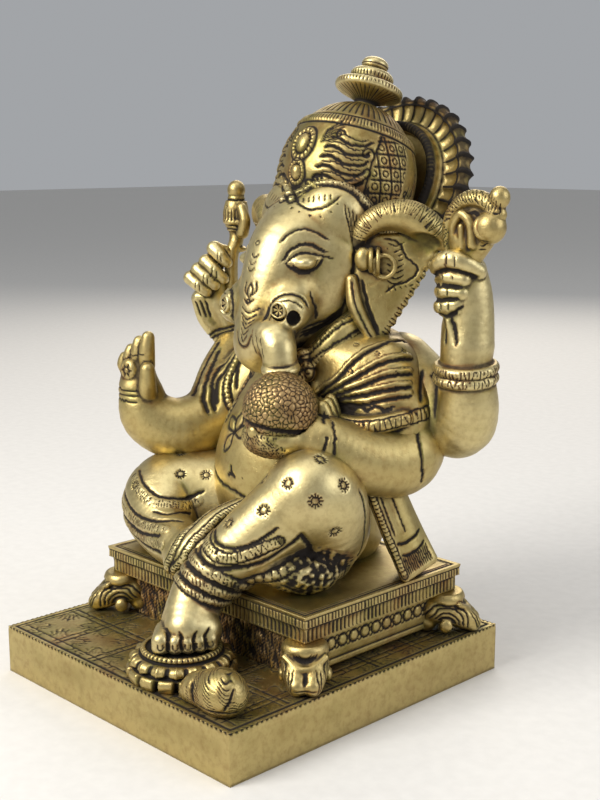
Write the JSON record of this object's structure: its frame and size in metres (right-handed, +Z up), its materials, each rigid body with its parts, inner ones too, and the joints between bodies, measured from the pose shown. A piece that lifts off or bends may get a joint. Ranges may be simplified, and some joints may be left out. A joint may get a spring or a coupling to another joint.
{
  "type": "hindu deity statue",
  "caption": "Seated elephant-headed deity figure in cast brass, on a paw-footed stool and a hollow rectangular plinth; stands free on a shelf or table.",
  "frame": {"origin": "centre of the plinth's underside, on the surface it stands on", "axes": "+Z up; the figure faces -Y; +X is towards the figure's own left hand"},
  "size_m": [0.1793, 0.1855, 0.2698],
  "materials": {
    "satin_brass": "satin, hand-brushed, lacquered",
    "polished_brass": "rubbed bright on the high spots",
    "antique_brass": "chased and darkened in the cuts",
    "dark_brass": "rough as cast, brown patina",
    "steel": "plain zinc-plated"
  },
  "bodies": {
    "root": {"plinth": "satin_brass", "plinth_screws": "steel", "seat": "satin_brass", "apron_front": "dark_brass", "apron_back": "antique_brass", "apron_left": "antique_brass", "apron_right": "antique_brass", "foot_front_left": "antique_brass", "foot_front_right": "antique_brass", "foot_back_left": "antique_brass", "foot_back_right": "antique_brass", "figure_bolt": "steel", "bolt_washer": "steel", "torso": "satin_brass", "head": "polished_brass", "left_tusk": "polished_brass", "right_tusk": "polished_brass", "left_ear": "antique_brass", "right_ear": "antique_brass", "crown": "antique_brass", "crown_finial": "polished_brass", "halo": "antique_brass", "left_front_arm": "satin_brass", "sweets_bowl": "dark_brass", "left_rear_arm": "polished_brass", "noose": "antique_brass", "right_rear_arm": "polished_brass", "goad": "antique_brass", "right_front_arm": "polished_brass", "left_leg": "polished_brass", "right_leg": "polished_brass", "shawl": "antique_brass", "cloth_tail": "antique_brass", "lotus_footrest": "antique_brass", "mouse": "dark_brass"}
  },
  "joints": []
}
